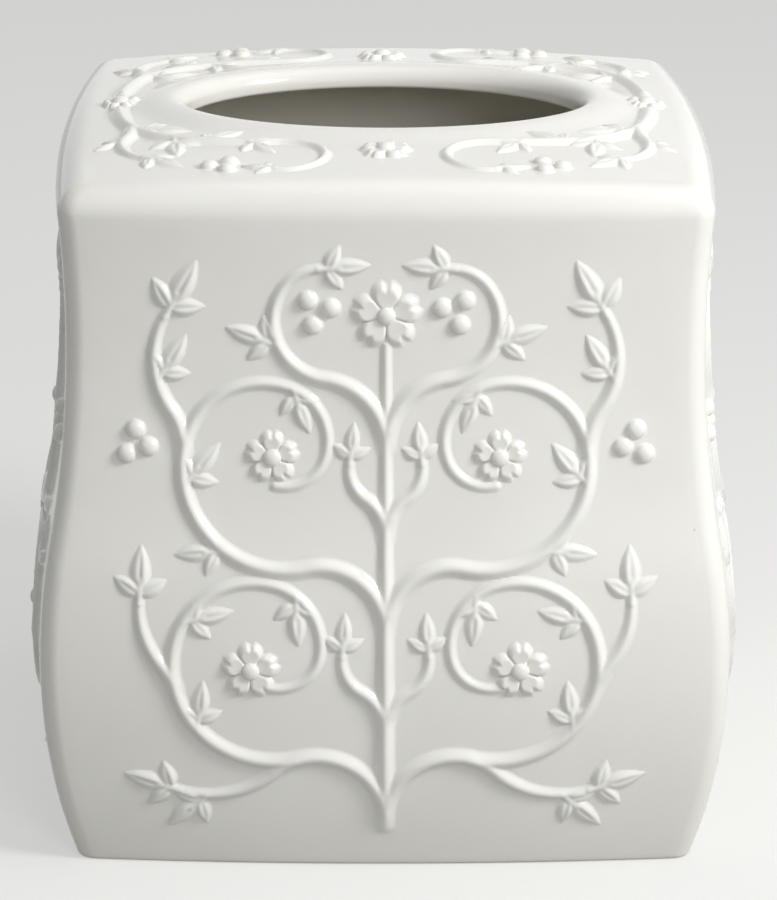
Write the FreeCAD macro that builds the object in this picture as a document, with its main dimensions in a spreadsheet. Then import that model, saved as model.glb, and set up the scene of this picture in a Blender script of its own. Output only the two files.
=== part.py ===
import FreeCAD, Part
import math
import os
import Sketcher

# Square ceramic cover for a boutique carton of tissues: a hollow shell, open below, with an oval opening above.
# The shell stands on z = 0 and is centred on the Z axis. Its front faces -Y. All lengths are in millimetres.

os.makedirs("parts", exist_ok=True)
doc = FreeCAD.newDocument("tissue_box_cover")

sizes = [
    # S-curve of a side at its middle: full belly, drawn-in waist above it, slight flare at the top
    ("belly_half", 73.0),
    ("belly_height", 43.0),
    ("belly_radius", 132.0),
    ("waist_rise", 69.0),
    ("waist_draw", 6.6),
    # bow of a side seen from above
    ("bow_radius", 650.0),
    # crowned top and its edges
    ("crown_height", 146.6),
    ("crown_radius", 720.0),
    ("corner_radius", 4.5),
    ("edge_radius", 7.5),
    ("foot_radius", 1.2),
    ("inside_radius", 3.0),
    ("wall", 4.0),
    # oval opening: its lip is level, slopes down to the crowned top and rolls over into the opening
    ("lip_half_length", 41.5),
    ("lip_half_width", 28.0),
    ("lip_height", 146.7),
    ("lip_radius", 3.4),
    ("lip_flat", 0.4),
    ("lip_slope", 6.0),
    ("lip_depth", 3.0),
    ("under_radius", 0.8),
    # raised ornament
    ("stem_height", 1.5),
    ("leaf_height", 1.2),
    ("blossom_height", 1.3),
    ("trunk_width", 2.6),
    ("stem_width", 2.3),
    ("shoot_width", 2.0),
    ("leaf_length", 15.0),
    ("leaf_width", 13.2),
    ("blossom_diameter", 14.0),
    ("berry_diameter", 4.0),
    ("eye_diameter", 4.0),
    ("eye_clearance", 0.1),
    ("side_margin", 2.1),
    ("foot_margin", 8.0),
    ("head_margin", 2.0),
    ("rim_margin", 0.3),
]

sheet = doc.addObject("Spreadsheet::Sheet", "Sizes")
for row, (alias, value) in enumerate(sizes, start=1):
    sheet.set(f"A{row}", alias)
    sheet.set(f"B{row}", str(value))
    sheet.setAlias(f"B{row}", alias)
doc.recompute()


def size(alias):
    return float(sheet.get(alias))


# Values that follow from the sizes, with the expressions that bind them in the sketches

belly_radius = size("belly_radius")
waist_half = size("belly_half") - size("waist_draw")
waist_height = size("belly_height") + size("waist_rise")
waist_radius = (size("waist_rise") ** 2 + size("waist_draw") ** 2) / (2 * size("waist_draw")) - belly_radius
waist_height_text = "Sizes.belly_height + Sizes.waist_rise"
waist_radius_text = "(Sizes.waist_rise^2 + Sizes.waist_draw^2) / (2 * Sizes.waist_draw) - Sizes.belly_radius"
bow_centre = size("bow_radius") - size("belly_half")
crown_centre = size("crown_height") - size("crown_radius")

overrun = 2.0          # how far a cutting form runs past the face that it opens
stock = 8.0            # raw block left outside the sides before they are cut
side_sweep = 40.0      # degrees about the bow axis that a side is cut through, past both of its corners
lip_room = 3.8         # how far outside the flat of the lip its slope meets the top
leaf_scrap = 2.0       # square mm; smaller leftovers of a leaf beside a stem are left out


def side_half(height, grow=0.0):
    # distance of a side's middle line from the Z axis
    joint = size("belly_height") + size("waist_rise") * (belly_radius + grow) / (belly_radius + waist_radius)
    if height <= joint:
        rise = height - size("belly_height")
        return size("belly_half") - belly_radius + math.sqrt((belly_radius + grow) ** 2 - rise ** 2)
    rise = height - waist_height
    return waist_half + waist_radius - math.sqrt((waist_radius - grow) ** 2 - rise ** 2)


def front_depth(across, height):
    # y of the front side's surface, which is bowed about a vertical axis behind the cover
    reach = bow_centre + side_half(height)
    return bow_centre - math.sqrt(reach ** 2 - across ** 2)


def top_height(x, y):
    return crown_centre + math.sqrt(size("crown_radius") ** 2 - x ** 2 - y ** 2)


def origin_plane(body, role):
    return [item for item in body.Origin.OriginFeatures if item.Role == role][0]


def new_sketch(body, name, role):
    sketch = body.newObject("Sketcher::SketchObject", name)
    sketch.AttachmentSupport = [(origin_plane(body, role), "")]
    sketch.MapMode = "FlatFace"
    return sketch


def bind(sketch, kind, places, value, text):
    # adds one sized constraint and ties it to the spreadsheet
    index = sketch.addConstraint(Sketcher.Constraint(kind, *places, value))
    sketch.setExpression(f"Constraints[{index}]", text)


def line(sketch, start, end, construction=False):
    first = FreeCAD.Vector(start[0], start[1], 0)
    last = FreeCAD.Vector(end[0], end[1], 0)
    return sketch.addGeometry(Part.LineSegment(first, last), construction)


def arc(sketch, centre, radius, start, end):
    # arc that runs anticlockwise from start to end
    circle = Part.Circle(FreeCAD.Vector(centre[0], centre[1], 0), FreeCAD.Vector(0, 0, 1), radius)
    first = math.atan2(start[1] - centre[1], start[0] - centre[0])
    last = math.atan2(end[1] - centre[1], end[0] - centre[0])
    if last < first:
        last += 2 * math.pi
    return sketch.addGeometry(Part.ArcOfCircle(circle, first, last), False)


def join(sketch, *ends):
    for first, second in zip(ends[0::2], ends[1::2]):
        sketch.addConstraint(Sketcher.Constraint("Coincident", *first, *second))


def s_curve(sketch, grow, grow_text, low, low_text, high, high_text):
    # the belly and waist arcs of the front side, moved outward by grow, from one height to another
    belly_centre = (belly_radius - size("belly_half"), size("belly_height"))
    waist_centre = (-waist_radius - waist_half, waist_height)
    share = (belly_radius + grow) / (belly_radius + waist_radius)
    joint = [near + share * (far - near) for near, far in zip(belly_centre, waist_centre)]
    belly = arc(sketch, belly_centre, belly_radius + grow, joint, (-side_half(low, grow), low))
    waist = arc(sketch, waist_centre, waist_radius - grow, joint, (-side_half(high, grow), high))
    sketch.addConstraint(Sketcher.Constraint("Tangent", belly, 1, waist, 1))
    bind(sketch, "DistanceX", (-1, 1, belly, 3), belly_centre[0], "Sizes.belly_radius - Sizes.belly_half")
    bind(sketch, "DistanceY", (-1, 1, belly, 3), belly_centre[1], "Sizes.belly_height")
    bind(sketch, "Radius", (belly,), belly_radius + grow, f"Sizes.belly_radius + {grow_text}")
    bind(sketch, "DistanceY", (-1, 1, belly, 2), low, low_text)
    bind(sketch, "DistanceY", (-1, 1, waist, 3), waist_centre[1], waist_height_text)
    bind(sketch, "Radius", (waist,), waist_radius - grow, f"{waist_radius_text} - ({grow_text})")
    bind(sketch, "DistanceY", (-1, 1, waist, 2), high, high_text)
    return belly, waist


def bow_axis(sketch, low, high):
    # upright construction line, the axis that the sides are bowed about
    axis = line(sketch, (bow_centre, low), (bow_centre, high), True)
    sketch.addConstraint(Sketcher.Constraint("Vertical", axis))
    bind(sketch, "DistanceX", (-1, 1, axis, 1), bow_centre, "Sizes.bow_radius - Sizes.belly_half")
    return axis


def edge_names(shape, wanted):
    return [f"Edge{number}" for number, edge in enumerate(shape.Edges, start=1) if wanted(edge)]


def is_corner(edge):
    # an edge where two sides meet
    ends = [vertex.Point for vertex in edge.Vertexes]
    upright = len(ends) == 2 and abs(ends[0].z - ends[1].z) > 1
    return upright and all(abs(abs(end.x) - abs(end.y)) < 0.01 for end in ends)


def round_edges(body, base, name, names, radius_text):
    fillet = body.newObject("PartDesign::Fillet", name)
    fillet.Base = (base, names)
    fillet.setExpression("Radius", radius_text)
    body.Tip = fillet
    doc.recompute()
    return fillet


def cover_form(name, grow, grow_text, low, corner_text, edge_text):
    # square block with four S-curved, bowed sides and a crowned top: the outside, or the hollow inside it
    body = doc.addObject("PartDesign::Body", name)
    half = size("belly_half") + grow + stock
    half_text = f"Sizes.belly_half + {grow_text} + {stock}"
    high = size("crown_height") + grow + stock
    high_text = f"Sizes.crown_height + {grow_text} + {stock}"

    square = new_sketch(body, f"{name}_square", "XY_Plane")
    square.AttachmentOffset = FreeCAD.Placement(FreeCAD.Vector(0, 0, low), FreeCAD.Rotation())
    corners = [(-half, -half), (half, -half), (half, half), (-half, half)]
    sides = [line(square, corners[k], corners[(k + 1) % 4]) for k in range(4)]
    for k in range(4):
        join(square, (sides[k], 2), (sides[(k + 1) % 4], 1))
        square.addConstraint(Sketcher.Constraint("Vertical" if k % 2 else "Horizontal", sides[k]))
    bind(square, "DistanceX", (sides[0], 1, -1, 1), half, half_text)
    bind(square, "DistanceY", (sides[0], 1, -1, 1), half, half_text)
    bind(square, "DistanceX", (-1, 1, sides[2], 1), half, half_text)
    bind(square, "DistanceY", (-1, 1, sides[2], 1), half, half_text)
    block = body.newObject("PartDesign::Pad", f"{name}_block")
    block.Profile = square
    block.setExpression("Length", f"{high_text} - ({low})")
    doc.recompute()

    waste = new_sketch(body, f"{name}_side", "YZ_Plane")
    bow_axis(waste, low, high)
    belly, waist = s_curve(waste, grow, grow_text, low, str(low), high, high_text)
    outer = 2 * half
    top_end = (-side_half(high, grow), high)
    low_end = (-side_half(low, grow), low)
    over = line(waste, top_end, (-outer, high))
    back = line(waste, (-outer, high), (-outer, low))
    under = line(waste, (-outer, low), low_end)
    join(waste, (waist, 2), (over, 1), (over, 2), (back, 1), (back, 2), (under, 1), (under, 2), (belly, 2))
    waste.addConstraint(Sketcher.Constraint("Horizontal", over))
    waste.addConstraint(Sketcher.Constraint("Vertical", back))
    waste.addConstraint(Sketcher.Constraint("Horizontal", under))
    bind(waste, "DistanceX", (back, 1, -1, 1), outer, f"2 * ({half_text})")
    side_cut = body.newObject("PartDesign::Groove", f"{name}_side_cut")
    side_cut.Profile = waste
    side_cut.ReferenceAxis = (waste, ["Axis0"])
    side_cut.Angle = side_sweep
    side_cut.Midplane = True
    body.Tip = side_cut
    doc.recompute()

    four_sides = body.newObject("PartDesign::PolarPattern", f"{name}_four_sides")
    four_sides.Originals = [side_cut]
    four_sides.Axis = (origin_plane(body, "Z_Axis"), [""])
    four_sides.Angle = 360
    four_sides.Occurrences = 4
    body.Tip = four_sides
    doc.recompute()

    dome = new_sketch(body, f"{name}_crown", "XZ_Plane")
    reach = 2 * half
    radius = size("crown_radius") + grow
    peak = crown_centre + radius
    rim = crown_centre + math.sqrt(radius ** 2 - reach ** 2)
    cap = arc(dome, (0, crown_centre), radius, (reach, rim), (0, peak))
    stem = line(dome, (0, peak), (0, high + overrun))
    roof = line(dome, (0, high + overrun), (reach, high + overrun))
    fall = line(dome, (reach, high + overrun), (reach, rim))
    join(dome, (cap, 2), (stem, 1), (stem, 2), (roof, 1), (roof, 2), (fall, 1), (fall, 2), (cap, 1))
    dome.addConstraint(Sketcher.Constraint("PointOnObject", cap, 3, -2))
    dome.addConstraint(Sketcher.Constraint("Vertical", stem))
    dome.addConstraint(Sketcher.Constraint("Horizontal", roof))
    dome.addConstraint(Sketcher.Constraint("Vertical", fall))
    dome.addConstraint(Sketcher.Constraint("PointOnObject", stem, 1, -2))
    bind(dome, "Radius", (cap,), radius, f"Sizes.crown_radius + {grow_text}")
    bind(dome, "DistanceY", (cap, 3, -1, 1), -crown_centre, "Sizes.crown_radius - Sizes.crown_height")
    bind(dome, "DistanceX", (-1, 1, fall, 1), reach, f"2 * ({half_text})")
    bind(dome, "DistanceY", (-1, 1, roof, 1), high + overrun, f"{high_text} + {overrun}")
    crown = body.newObject("PartDesign::Groove", f"{name}_crown_cut")
    crown.Profile = dome
    crown.ReferenceAxis = (dome, ["V_Axis"])
    crown.Angle = 360
    body.Tip = crown
    doc.recompute()

    corners = round_edges(body, crown, f"{name}_corners", edge_names(crown.Shape, is_corner), corner_text)
    roof_face = [face for face in corners.Shape.Faces if face.Surface.TypeId == "Part::GeomSphere"][0]
    on_roof = edge_names(corners.Shape, lambda edge: any(edge.isSame(other) for other in roof_face.Edges))
    edges = round_edges(body, corners, f"{name}_top_edges", on_roof, edge_text)
    return body, edges


outside, outside_edges = cover_form("outside", 0.0, "0", 0.0, "Sizes.corner_radius", "Sizes.edge_radius")
floor_face = min(outside_edges.Shape.Faces, key=lambda face: face.CenterOfMass.z)
on_floor = edge_names(outside_edges.Shape, lambda edge: any(edge.isSame(other) for other in floor_face.Edges))
round_edges(outside, outside_edges, "outside_foot", on_floor, "Sizes.foot_radius")
inside_text = "Sizes.inside_radius"
hollow = cover_form("hollow", -size("wall"), "(-Sizes.wall)", -overrun, inside_text, inside_text)[0]


def oval_sketch(body, name, grow, grow_text, height_text):
    # oval of the opening, moved outward by grow, level at a height
    sketch = new_sketch(body, name, "XY_Plane")
    sketch.setExpression("AttachmentOffset.Base.z", height_text)
    long_half = size("lip_half_length") + grow
    short_half = size("lip_half_width") + grow
    ends = FreeCAD.Vector(long_half, 0, 0), FreeCAD.Vector(0, short_half, 0)
    oval = sketch.addGeometry(Part.Ellipse(*ends, FreeCAD.Vector(0, 0, 0)), False)
    sketch.exposeInternalGeometry(oval)
    sketch.addConstraint(Sketcher.Constraint("Coincident", oval, 3, -1, 1))
    sketch.addConstraint(Sketcher.Constraint("Horizontal", oval + 1))
    bind(sketch, "Distance", (oval + 1,), 2 * long_half, f"2 * (Sizes.lip_half_length + {grow_text})")
    bind(sketch, "Distance", (oval + 2,), 2 * short_half, f"2 * (Sizes.lip_half_width + {grow_text})")
    return sketch


def combine(kind, name, base, tool):
    result = doc.addObject(kind, name)
    result.Base = base
    result.Tool = tool
    doc.recompute()
    return result


def is_opening(edge):
    # an edge that runs round the opening's inside
    box = edge.BoundBox
    reach = size("lip_half_length")
    return abs(box.XMax - reach) < 0.01 and abs(box.XMin + reach) < 0.01


def lip_and_opening(name, base):
    # raises the level lip on the top, opens the oval through it and rolls its edges over
    body = doc.addObject("PartDesign::Body", name)
    body.BaseFeature = base
    flat = size("lip_radius") + size("lip_flat")
    flat_text = "Sizes.lip_radius + Sizes.lip_flat"
    crest = oval_sketch(body, "lip_crest", flat, flat_text, "Sizes.lip_height")
    foot_text = f"{flat_text} + Sizes.lip_slope"
    foot = oval_sketch(body, "lip_foot", flat + size("lip_slope"), foot_text, "Sizes.lip_height - Sizes.lip_depth")
    doc.recompute()
    mound = body.newObject("PartDesign::AdditiveLoft", "lip_mound")
    mound.Profile = foot
    mound.Sections = [crest]
    mound.Ruled = True
    body.Tip = mound
    doc.recompute()
    oval = oval_sketch(body, "opening_oval", 0.0, "0", "Sizes.lip_height + Sizes.wall")
    hole = body.newObject("PartDesign::Pocket", "opening_hole")
    hole.Profile = oval
    hole.setExpression("Length", "4 * Sizes.wall")
    body.Tip = hole
    doc.recompute()
    rims = [edge for edge in hole.Shape.Edges if is_opening(edge)]
    upper = max(rims, key=lambda edge: edge.BoundBox.ZMax)
    rolled = round_edges(body, hole, "lip_roll", edge_names(hole.Shape, upper.isSame), "Sizes.lip_radius")
    rims = [edge for edge in rolled.Shape.Edges if is_opening(edge)]
    lower = min(rims, key=lambda edge: edge.BoundBox.ZMin)
    round_edges(body, rolled, "lip_under", edge_names(rolled.Shape, lower.isSame), "Sizes.under_radius")
    return body


walls = combine("Part::Cut", "walls", outside, hollow)
cover_shell = lip_and_opening("cover_shell", walls)


# Layers that the raised ornament is cut from: each lies on the shell and is as thick as the ornament is high

side_top = top_height(0, waist_half) - size("edge_radius")
bow_sag = waist_half ** 2 / (2 * size("bow_radius"))
flat_half = waist_half - bow_sag - size("corner_radius")
bow_sag_text = "(Sizes.belly_half - Sizes.waist_draw)^2 / (2 * Sizes.bow_radius)"
flat_half_text = f"(Sizes.belly_half - Sizes.waist_draw - {bow_sag_text} - Sizes.corner_radius)"


def side_layer(name, thickness):
    body = doc.addObject("PartDesign::Body", name)
    strip = new_sketch(body, f"{name}_strip", "YZ_Plane")
    high_text = "Sizes.crown_height - Sizes.edge_radius - Sizes.head_margin"
    high = size("crown_height") - size("edge_radius") - size("head_margin")
    low = size("foot_margin") / 2
    low_text = "Sizes.foot_margin / 2"
    bow_axis(strip, low, high)
    near = s_curve(strip, 0.0, "0", low, low_text, high, high_text)
    far = s_curve(strip, size(thickness), f"Sizes.{thickness}", low, low_text, high, high_text)
    for place, height in ((0, low), (1, high)):
        start = (-side_half(height), height)
        end = (-side_half(height, size(thickness)), height)
        closing = line(strip, start, end)
        join(strip, (near[place], 2), (closing, 1), (closing, 2), (far[place], 2))
    layer = body.newObject("PartDesign::Revolution", f"{name}_sweep")
    layer.Profile = strip
    layer.ReferenceAxis = (strip, ["Axis0"])
    layer.Midplane = True
    layer.setExpression("Angle", f"2 * asin({flat_half_text} / Sizes.bow_radius)")
    doc.recompute()
    return body


def top_layer(name, thickness):
    body = doc.addObject("PartDesign::Body", name)
    strip = new_sketch(body, f"{name}_strip", "XZ_Plane")
    reach = 1.5 * size("belly_half")
    ends = []
    for grow, grow_text in ((0.0, "0"), (size(thickness), f"Sizes.{thickness}")):
        radius = size("crown_radius") + grow
        rim = crown_centre + math.sqrt(radius ** 2 - reach ** 2)
        cap = arc(strip, (0, crown_centre), radius, (reach, rim), (0, crown_centre + radius))
        strip.addConstraint(Sketcher.Constraint("PointOnObject", cap, 3, -2))
        strip.addConstraint(Sketcher.Constraint("PointOnObject", cap, 2, -2))
        bind(strip, "Radius", (cap,), radius, f"Sizes.crown_radius + {grow_text}")
        bind(strip, "DistanceY", (cap, 3, -1, 1), -crown_centre, "Sizes.crown_radius - Sizes.crown_height")
        bind(strip, "DistanceX", (-1, 1, cap, 1), reach, "1.5 * Sizes.belly_half")
        ends.append((cap, rim, crown_centre + radius))
    (near, near_rim, near_peak), (far, far_rim, far_peak) = ends
    middle = line(strip, (0, near_peak), (0, far_peak))
    outer = line(strip, (reach, near_rim), (reach, far_rim))
    join(strip, (near, 2), (middle, 1), (middle, 2), (far, 2), (near, 1), (outer, 1), (outer, 2), (far, 1))
    layer = body.newObject("PartDesign::Revolution", f"{name}_sweep")
    layer.Profile = strip
    layer.ReferenceAxis = (strip, ["V_Axis"])
    layer.Angle = 360
    doc.recompute()
    return body


# Layout of the ornament, a scroll of foliage, drawn flat.
# A stem starts at a point with a heading in degrees and runs through arcs, each a radius and a turn in degrees,
# anticlockwise when above zero; a radius of zero is a straight run of that length. The trunk is on the mirror line.
# A shoot leaves a stem at a distance along it, with the heading that the stem has there.
# A leaf names its stem, the distance along it (none: at its end), the side that it grows on, its tilt from the
# stem in degrees and its share of the full leaf. A blossom is a place and a share of the full blossom.

side_scroll = {
    "half": 54.5,
    "height": 126.0,
    "trunk": {
        "middle": ((0, 2), 90, [(0, 101)]),
    },
    "stems": {
        "low": ((0, 4), 90, [(14, -104), (20.5, 116), (16.5, 90), (12.5, 90), (8.5, 100)]),
        "high": ((0, 45), 90, [(13, -102), (20.5, 118), (16, 90), (11.5, 90), (8.5, 86)]),
        "crown": ((0, 82), 90, [(14, -82), (12, 118), (9, 50)]),
    },
    "shoots": {
        "low_shoot": ("low", 22, [(12, -44), (19, 62)]),
        "side_shoot": ("low", 57, [(16, -24), (18, 42)]),
        "high_shoot": ("high", 62, [(13, -42), (18, 64)]),
        "inner_low": ("middle", 22, [(9.5, -60), (8, 64)]),
        "inner_high": ("middle", 62, [(9, -56), (7.5, 62)]),
    },
    "leaves": [
        ("low", 48, 1, 48, 0.7),
        ("low", 72, 1, 46, 0.7),
        ("low", 98, 1, 50, 0.7),
        ("high", 40, -1, 40, 0.7),
        ("high", 56, 1, 50, 0.75),
        ("high", 92, 1, 46, 0.65),
        ("low_shoot", None, 0, 0, 0.8),
        ("low_shoot", 24, -1, 44, 0.75),
        ("side_shoot", None, 0, 0, 0.8),
        ("high_shoot", None, 0, 0, 0.9),
        ("high_shoot", 16, 1, 46, 0.75),
        ("crown", None, 0, 0, 0.7),
        ("crown", 32, -1, 46, 0.75),
        ("inner_low", None, 0, 0, 0.62),
        ("inner_high", None, 0, 0, 0.58),
    ],
    "blossoms": [((27, 36.8), 0.92), ((22.6, 80), 0.85), ((0, 109), 1.1)],
    "berries": [(11, 110.5), (14.5, 107), (15.5, 112), (49.7, 85.2), (51.5, 80.3), (47.2, 81.8)],
}
top_garland = {
    "half": 57.3,
    "trunk": {},
    "stems": {
        "garland": ((56, 4), 90, [(60, 16), (24, 60), (60, 14), (9.7, -150), (6, -50)]),
    },
    "shoots": {
        "corner": ("garland", 18, [(16, -38), (13, 70)]),
    },
    "leaves": [
        ("garland", 22, 1, 50, 0.8),
        ("garland", 34, -1, 52, 0.8),
        ("garland", 40, 1, 50, 0.7),
        ("garland", 50, -1, 46, 0.65),
        ("garland", None, 0, 0, 0.5),
        ("corner", None, 0, 0, 0.7),
        ("corner", 12, -1, 40, 0.5),
    ],
    "blossoms": [((56, 0), 0.66), ((0, 46), 0.85)],
    "berries": [(31.5, 52), (35.5, 54.2), (31.8, 56.6)],
}


def trace(start, angle, turns, scale):
    # the arcs of a stem: sign of the turn, centre, radius, first and last angle; straight runs as two points
    x, y = start.x, start.y
    runs = []
    for radius, turn in turns:
        if radius == 0:
            first = FreeCAD.Vector(x, y, 0)
            x += turn * scale * math.cos(angle)
            y += turn * scale * math.sin(angle)
            runs.append(("straight", first, FreeCAD.Vector(x, y, 0), angle, angle))
            continue
        sign = math.copysign(1, turn)
        reach = radius * scale
        centre = FreeCAD.Vector(x - sign * reach * math.sin(angle), y + sign * reach * math.cos(angle), 0)
        last = angle + math.radians(turn)
        runs.append((sign, centre, reach, angle, last))
        angle = last
        x = centre.x + sign * reach * math.sin(angle)
        y = centre.y - sign * reach * math.cos(angle)
    return runs


def run_point(run, share, aside=0.0):
    # point and heading at a share of a run, moved to the left by aside
    sign, first, second, start, end = run
    angle = start + share * (end - start)
    left = FreeCAD.Vector(-math.sin(angle), math.cos(angle), 0)
    if sign == "straight":
        return first + (second - first) * share + left * aside, angle
    return first - left * (sign * second - aside), angle


def run_length(run):
    sign, first, second, start, end = run
    return (second - first).Length if sign == "straight" else second * abs(end - start)


def stem_point(runs, distance):
    for run in runs:
        if distance <= run_length(run):
            return run_point(run, distance / run_length(run))
        distance -= run_length(run)
    return run_point(runs[-1], 1.0)


def arc_edge(first, middle, last):
    return Part.Arc(first, middle, last).toShape()


def run_edge(run, aside, forward):
    ends = (0.0, 1.0) if forward else (1.0, 0.0)
    first = run_point(run, ends[0], aside)[0]
    last = run_point(run, ends[1], aside)[0]
    if run[0] == "straight":
        return Part.LineSegment(first, last).toShape()
    return arc_edge(first, run_point(run, 0.5, aside)[0], last)


def stem_face(runs, width):
    # band of even width along the runs, with round ends
    half = width / 2
    edges = [run_edge(run, half, True) for run in runs]
    end, angle = run_point(runs[-1], 1.0)
    tip = end + FreeCAD.Vector(math.cos(angle), math.sin(angle), 0) * half
    edges.append(arc_edge(run_point(runs[-1], 1.0, half)[0], tip, run_point(runs[-1], 1.0, -half)[0]))
    edges += [run_edge(run, -half, False) for run in reversed(runs)]
    start, angle = run_point(runs[0], 0.0)
    tail = start - FreeCAD.Vector(math.cos(angle), math.sin(angle), 0) * half
    edges.append(arc_edge(run_point(runs[0], 0.0, -half)[0], tail, run_point(runs[0], 0.0, half)[0]))
    return Part.Face(Part.Wire(edges))


def leaf_face(base, angle, length, width):
    # three-lobed leaf: one edge of it from the base over a side lobe to the tip, then the other edge back
    along = FreeCAD.Vector(math.cos(angle), math.sin(angle), 0) * length
    across = FreeCAD.Vector(-math.sin(angle), math.cos(angle), 0) * width
    half_edge = [(0, 0), (0.16, 0.3), (0.435, 0.5), (0.40, 0.31), (0.34, 0.136), (0.60, 0.21), (1, 0)]
    left = [base + along * far + across * aside for far, aside in half_edge]
    right = [base + along * far - across * aside for far, aside in reversed(half_edge)]
    edges = [arc_edge(*left[k:k + 3]) for k in (0, 2, 4)]
    edges += [arc_edge(*right[k:k + 3]) for k in (0, 2, 4)]
    return Part.Face(Part.Wire(edges))


def disc_face(place, diameter):
    return Part.Face(Part.Wire(Part.Circle(place, FreeCAD.Vector(0, 0, 1), diameter / 2).toShape()))


def blossom_faces(place, diameter, eye):
    # five round petals about a hole for the eye
    petals = 5
    notch = 0.27 * diameter
    edges = []
    for k in range(petals):
        middle = math.pi / 2 + 2 * math.pi * k / petals
        rim = []
        for turn, radius in ((-1, notch), (0, diameter / 2), (1, notch)):
            angle = middle + turn * math.pi / petals
            rim.append(place + FreeCAD.Vector(math.cos(angle), math.sin(angle), 0) * radius)
        edges.append(arc_edge(*rim))
    return Part.Face(Part.Wire(edges)).cut(disc_face(place, eye)).Faces


def mirrored(faces, directions):
    # the faces with their mirror images across the given directions
    for direction in directions:
        faces = faces + [face.mirror(FreeCAD.Vector(0, 0, 0), direction) for face in faces]
    return faces


def merged(faces):
    # one outline from faces that may overlap, all turned to face the same way
    same_way = [face if face.normalAt(0, 0).z > 0 else face.reversed() for face in faces]
    return same_way[0].fuse(same_way[1:]).removeSplitter() if len(same_way) > 1 else same_way[0]


def mirror_points(points, directions):
    for direction in directions:
        flip = [FreeCAD.Vector(point) for point in points]
        for point in flip:
            point.x = -point.x if direction.x else point.x
            point.y = -point.y if direction.y else point.y
        points = points + [point for point in flip if all((point - other).Length > 0.01 for other in points)]
    return points


def stem_runs(design, scale):
    # the runs of the trunk, the stems and the shoots, each under its name
    runs = {}
    for name, ((x, y), heading, turns) in {**design["trunk"], **design["stems"]}.items():
        runs[name] = trace(FreeCAD.Vector(x, y, 0) * scale, math.radians(heading), turns, scale)
    for name, (parent, distance, turns) in design["shoots"].items():
        runs[name] = trace(*stem_point(runs[parent], distance * scale), turns, scale)
    return runs


def leaf_faces(design, runs, scale):
    blades = []
    for name, distance, hand, tilt, share in design["leaves"]:
        total = sum(run_length(run) for run in runs[name])
        point, angle = stem_point(runs[name], total if distance is None else distance * scale)
        turned = angle + hand * math.radians(tilt)
        blades.append(leaf_face(point, turned, share * size("leaf_length"), share * size("leaf_width")))
    return blades


def layout(design, scale, directions):
    # flat outlines of the stems, leaves and blossoms, and the places of the berries and of the blossoms' eyes
    runs = stem_runs(design, scale)
    bands = [stem_face(runs[name], size("stem_width")) for name in design["stems"]]
    bands += [stem_face(runs[name], size("shoot_width")) for name in design["shoots"]]
    bands = mirrored(merged(bands).Faces, directions)
    bands += [stem_face(runs[name], size("trunk_width")) for name in design["trunk"]]
    blades = mirrored(merged(leaf_faces(design, runs, scale)).Faces, directions)
    eye_hole = size("eye_diameter") + 2 * size("eye_clearance")
    flowers = []
    eyes = []
    for (x, y), share in design["blossoms"]:
        for point in mirror_points([FreeCAD.Vector(x, y, 0) * scale], directions):
            flowers += blossom_faces(point, share * size("blossom_diameter"), eye_hole)
            eyes.append(point)
    discs = [disc_face(eye, eye_hole) for eye in eyes]
    dots = mirror_points([FreeCAD.Vector(x, y, 0) * scale for x, y in design["berries"]], directions)
    berry_hole = size("berry_diameter") + 2 * size("eye_clearance")
    discs += [disc_face(dot, berry_hole) for dot in dots]
    blossom_outline = merged(flowers)
    stem_outline = merged(bands).cut(flowers + discs)
    leaf_outline = merged(blades).cut(bands + flowers + discs)
    leaf_outline = Part.makeCompound([face for face in leaf_outline.Faces if face.Area > leaf_scrap])
    return stem_outline, leaf_outline, blossom_outline, dots, eyes


def raised(name, outline, placement, direction, depth, layer):
    # ornament on the shell: its outline pushed through the layer
    flat = doc.addObject("Part::Feature", f"{name}_outline")
    flat.Shape = outline
    flat.Placement = placement
    prism = doc.addObject("Part::Extrusion", f"{name}_prism")
    prism.Base = flat
    prism.DirMode = "Custom"
    prism.Dir = direction
    prism.LengthFwd = depth
    prism.Solid = True
    return combine("Part::Common", name, layer, prism)


def domes(name, centres, outward):
    # beads that stand out of the shell by half
    balls = [Part.makeSphere(diameter / 2, centre, outward) for centre, diameter in centres]
    beads = doc.addObject("Part::Feature", f"{name}_balls")
    beads.Shape = Part.makeCompound(balls)
    halves = combine("Part::Cut", name, beads, outside)
    if halves.Shape.Volume > 0.51 * beads.Shape.Volume:
        raise RuntimeError(f"{name}: the shell did not cut every bead")
    return halves


stem_layer = side_layer("side_stem_layer", "stem_height")
leaf_layer = side_layer("side_leaf_layer", "leaf_height")
blossom_layer = side_layer("side_blossom_layer", "blossom_height")
top_stem_layer = top_layer("top_stem_layer", "stem_height")
top_leaf_layer = top_layer("top_leaf_layer", "leaf_height")
top_blossom_layer = top_layer("top_blossom_layer", "blossom_height")

left_right = FreeCAD.Vector(1, 0, 0)
front_back = FreeCAD.Vector(0, 1, 0)

field_half = flat_half - size("side_margin")
field_height = side_top - size("head_margin") - size("foot_margin")
side_scale = min(field_half / side_scroll["half"], field_height / side_scroll["height"])
side_layout = layout(side_scroll, side_scale, [left_right])
front_place = FreeCAD.Placement(
    FreeCAD.Vector(0, -size("belly_half") - stock, size("foot_margin")),
    FreeCAD.Rotation(FreeCAD.Vector(1, 0, 0), 90),
)
front_depth_run = 2 * stock + size("waist_draw") + bow_sag
inward = FreeCAD.Vector(0, 1, 0)
front = {}
flat_kinds = ("stems", "leaves", "blossoms")
side_layers = (stem_layer, leaf_layer, blossom_layer)
for kind, outline, layer in zip(flat_kinds, side_layout, side_layers):
    front[kind] = raised(f"front_{kind}", outline, front_place, inward, front_depth_run, layer)


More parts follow.
